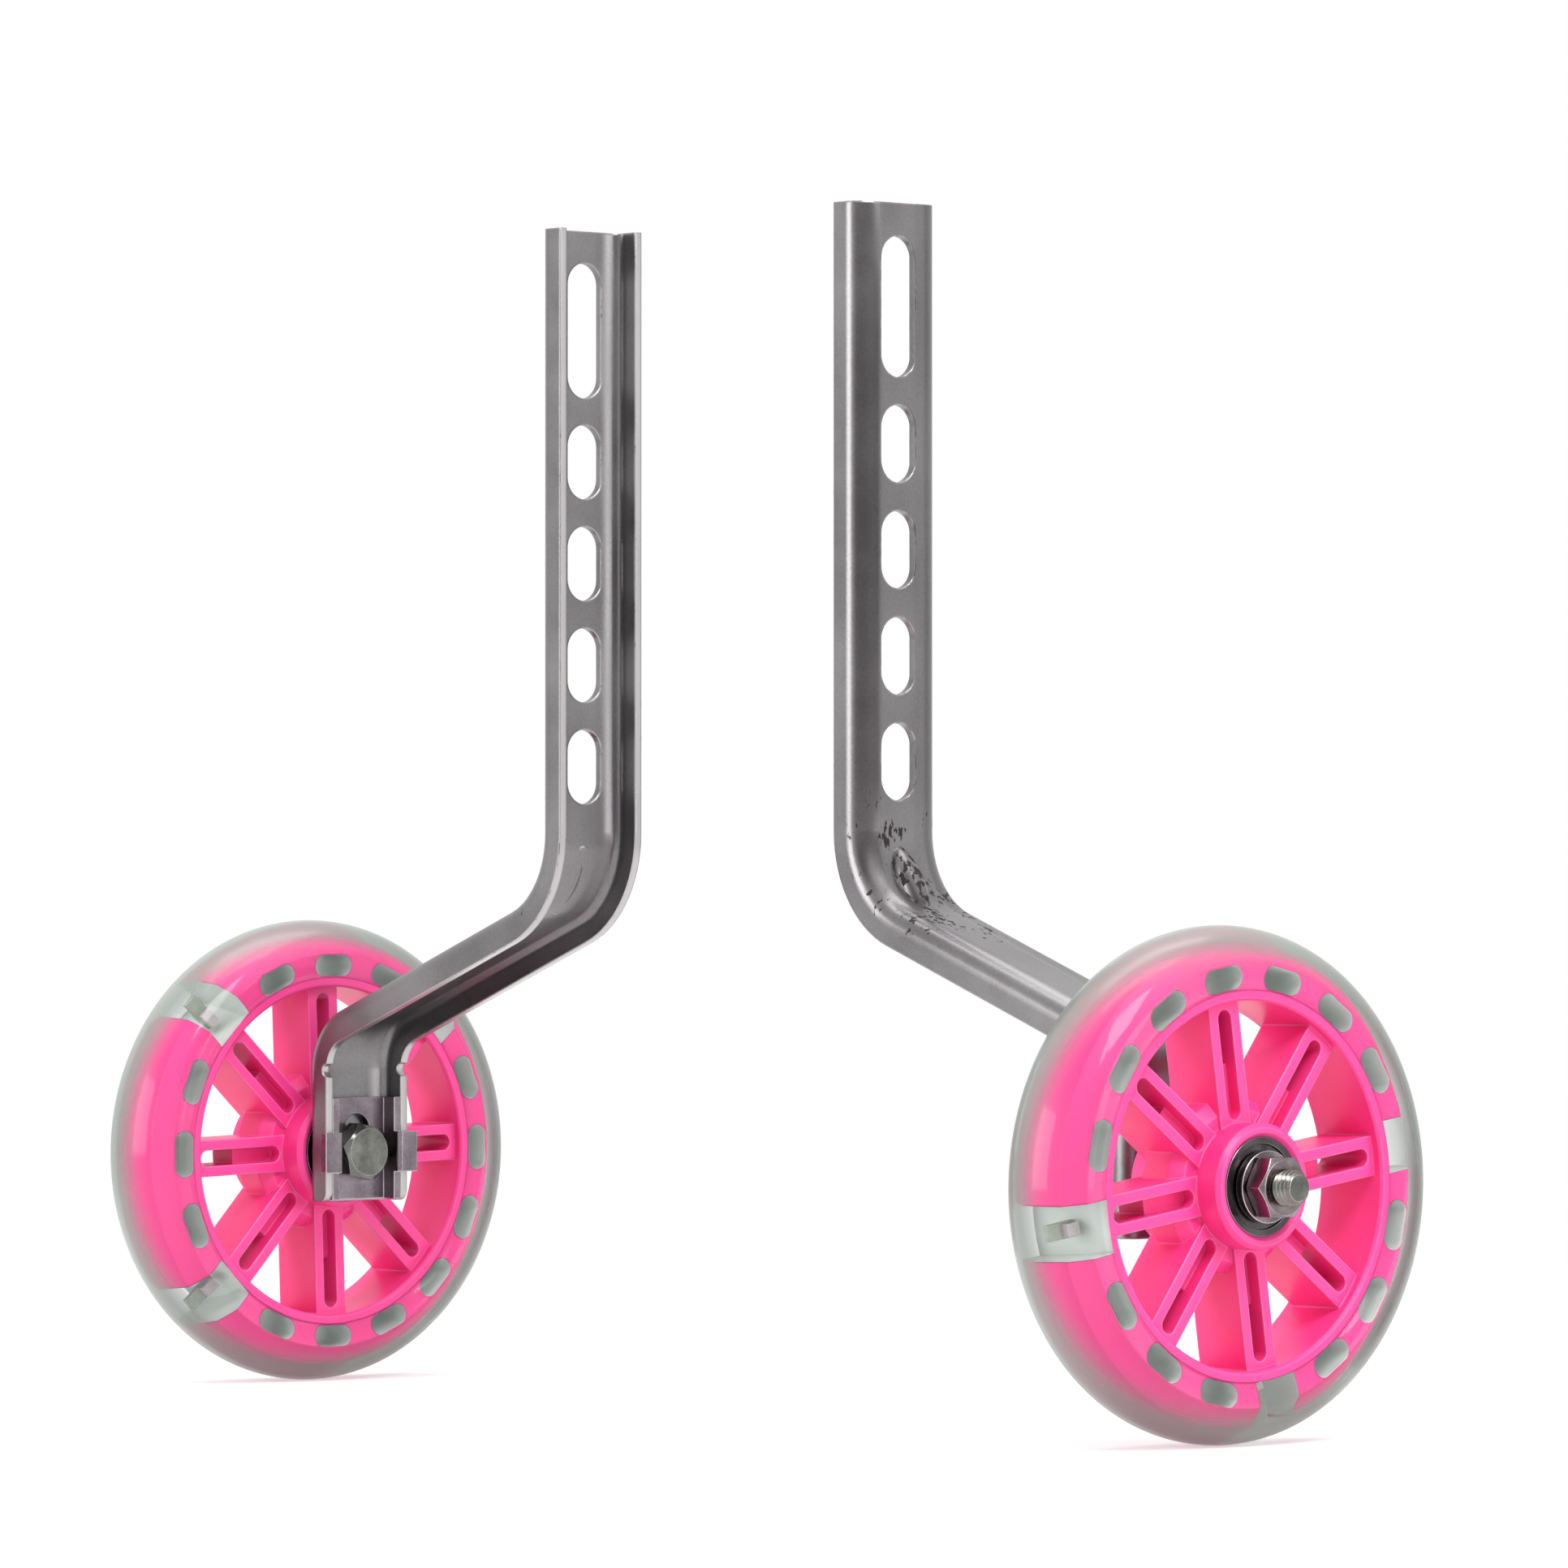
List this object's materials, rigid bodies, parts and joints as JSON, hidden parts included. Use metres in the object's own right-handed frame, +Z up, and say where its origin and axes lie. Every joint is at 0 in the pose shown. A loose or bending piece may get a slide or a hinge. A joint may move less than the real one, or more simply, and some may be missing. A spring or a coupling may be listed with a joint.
{
  "type": "bicycle training wheels",
  "caption": "Pair of slotted steel channel arms that bolt to a child bike's rear axle, each carrying a spoked wheel with a clear light-up tyre on ball bearings.",
  "frame": {"origin": "on the ground midway between the two wheels, under the bike's rear axle line", "axes": "+X to the bike's right along the axle, +Y forward, +Z up"},
  "size_m": [0.3804, 0.115, 0.2815],
  "materials": {
    "arm_steel": "metallic grey, lightly chipped",
    "clip_steel": "plated sheet",
    "bolt_steel": "plated",
    "bearing_steel": "ground",
    "shield_steel": "pressed sheet",
    "rim_plastic": "moulded, hot pink",
    "clear_tyre": "clear, slightly smoky vinyl",
    "board": "circuit board",
    "lamp": "lamp lens"
  },
  "bodies": {
    "frame": {"right_arm": "arm_steel", "right_axle_clip": "clip_steel", "right_axle_bolt": "bolt_steel", "right_arm_spacer": "bolt_steel", "right_bearing_tube": "bolt_steel", "right_nut_washer": "bolt_steel", "right_axle_nut": "bolt_steel", "right_inner_bearing_inner_race": "bearing_steel", "right_outer_bearing_inner_race": "bearing_steel", "left_arm": "arm_steel", "left_axle_clip": "clip_steel", "left_axle_bolt": "bolt_steel", "left_arm_spacer": "bolt_steel", "left_bearing_tube": "bolt_steel", "left_nut_washer": "bolt_steel", "left_axle_nut": "bolt_steel", "left_inner_bearing_inner_race": "bearing_steel", "left_outer_bearing_inner_race": "bearing_steel"},
    "right_wheel": {"right_rim": "rim_plastic", "right_tyre": "clear_tyre", "right_light_boards": "board", "right_lamps": "lamp", "right_inner_bearing_outer_race": "bearing_steel", "right_inner_bearing_shields": "shield_steel", "right_outer_bearing_outer_race": "bearing_steel", "right_outer_bearing_shields": "shield_steel"},
    "left_wheel": {"left_rim": "rim_plastic", "left_tyre": "clear_tyre", "left_light_boards": "board", "left_lamps": "lamp", "left_inner_bearing_outer_race": "bearing_steel", "left_inner_bearing_shields": "shield_steel", "left_outer_bearing_outer_race": "bearing_steel", "left_outer_bearing_shields": "shield_steel"}
  },
  "joints": [
    {"name": "right_wheel_spin", "type": "hinge", "parent": "frame", "child": "right_wheel", "pos_m": [0.16474, 0, 0.0575], "axis": [1, 0, 0], "continuous": true},
    {"name": "left_wheel_spin", "type": "hinge", "parent": "frame", "child": "left_wheel", "pos_m": [-0.16474, 0, 0.0575], "axis": [1, 0, 0], "continuous": true}
  ]
}
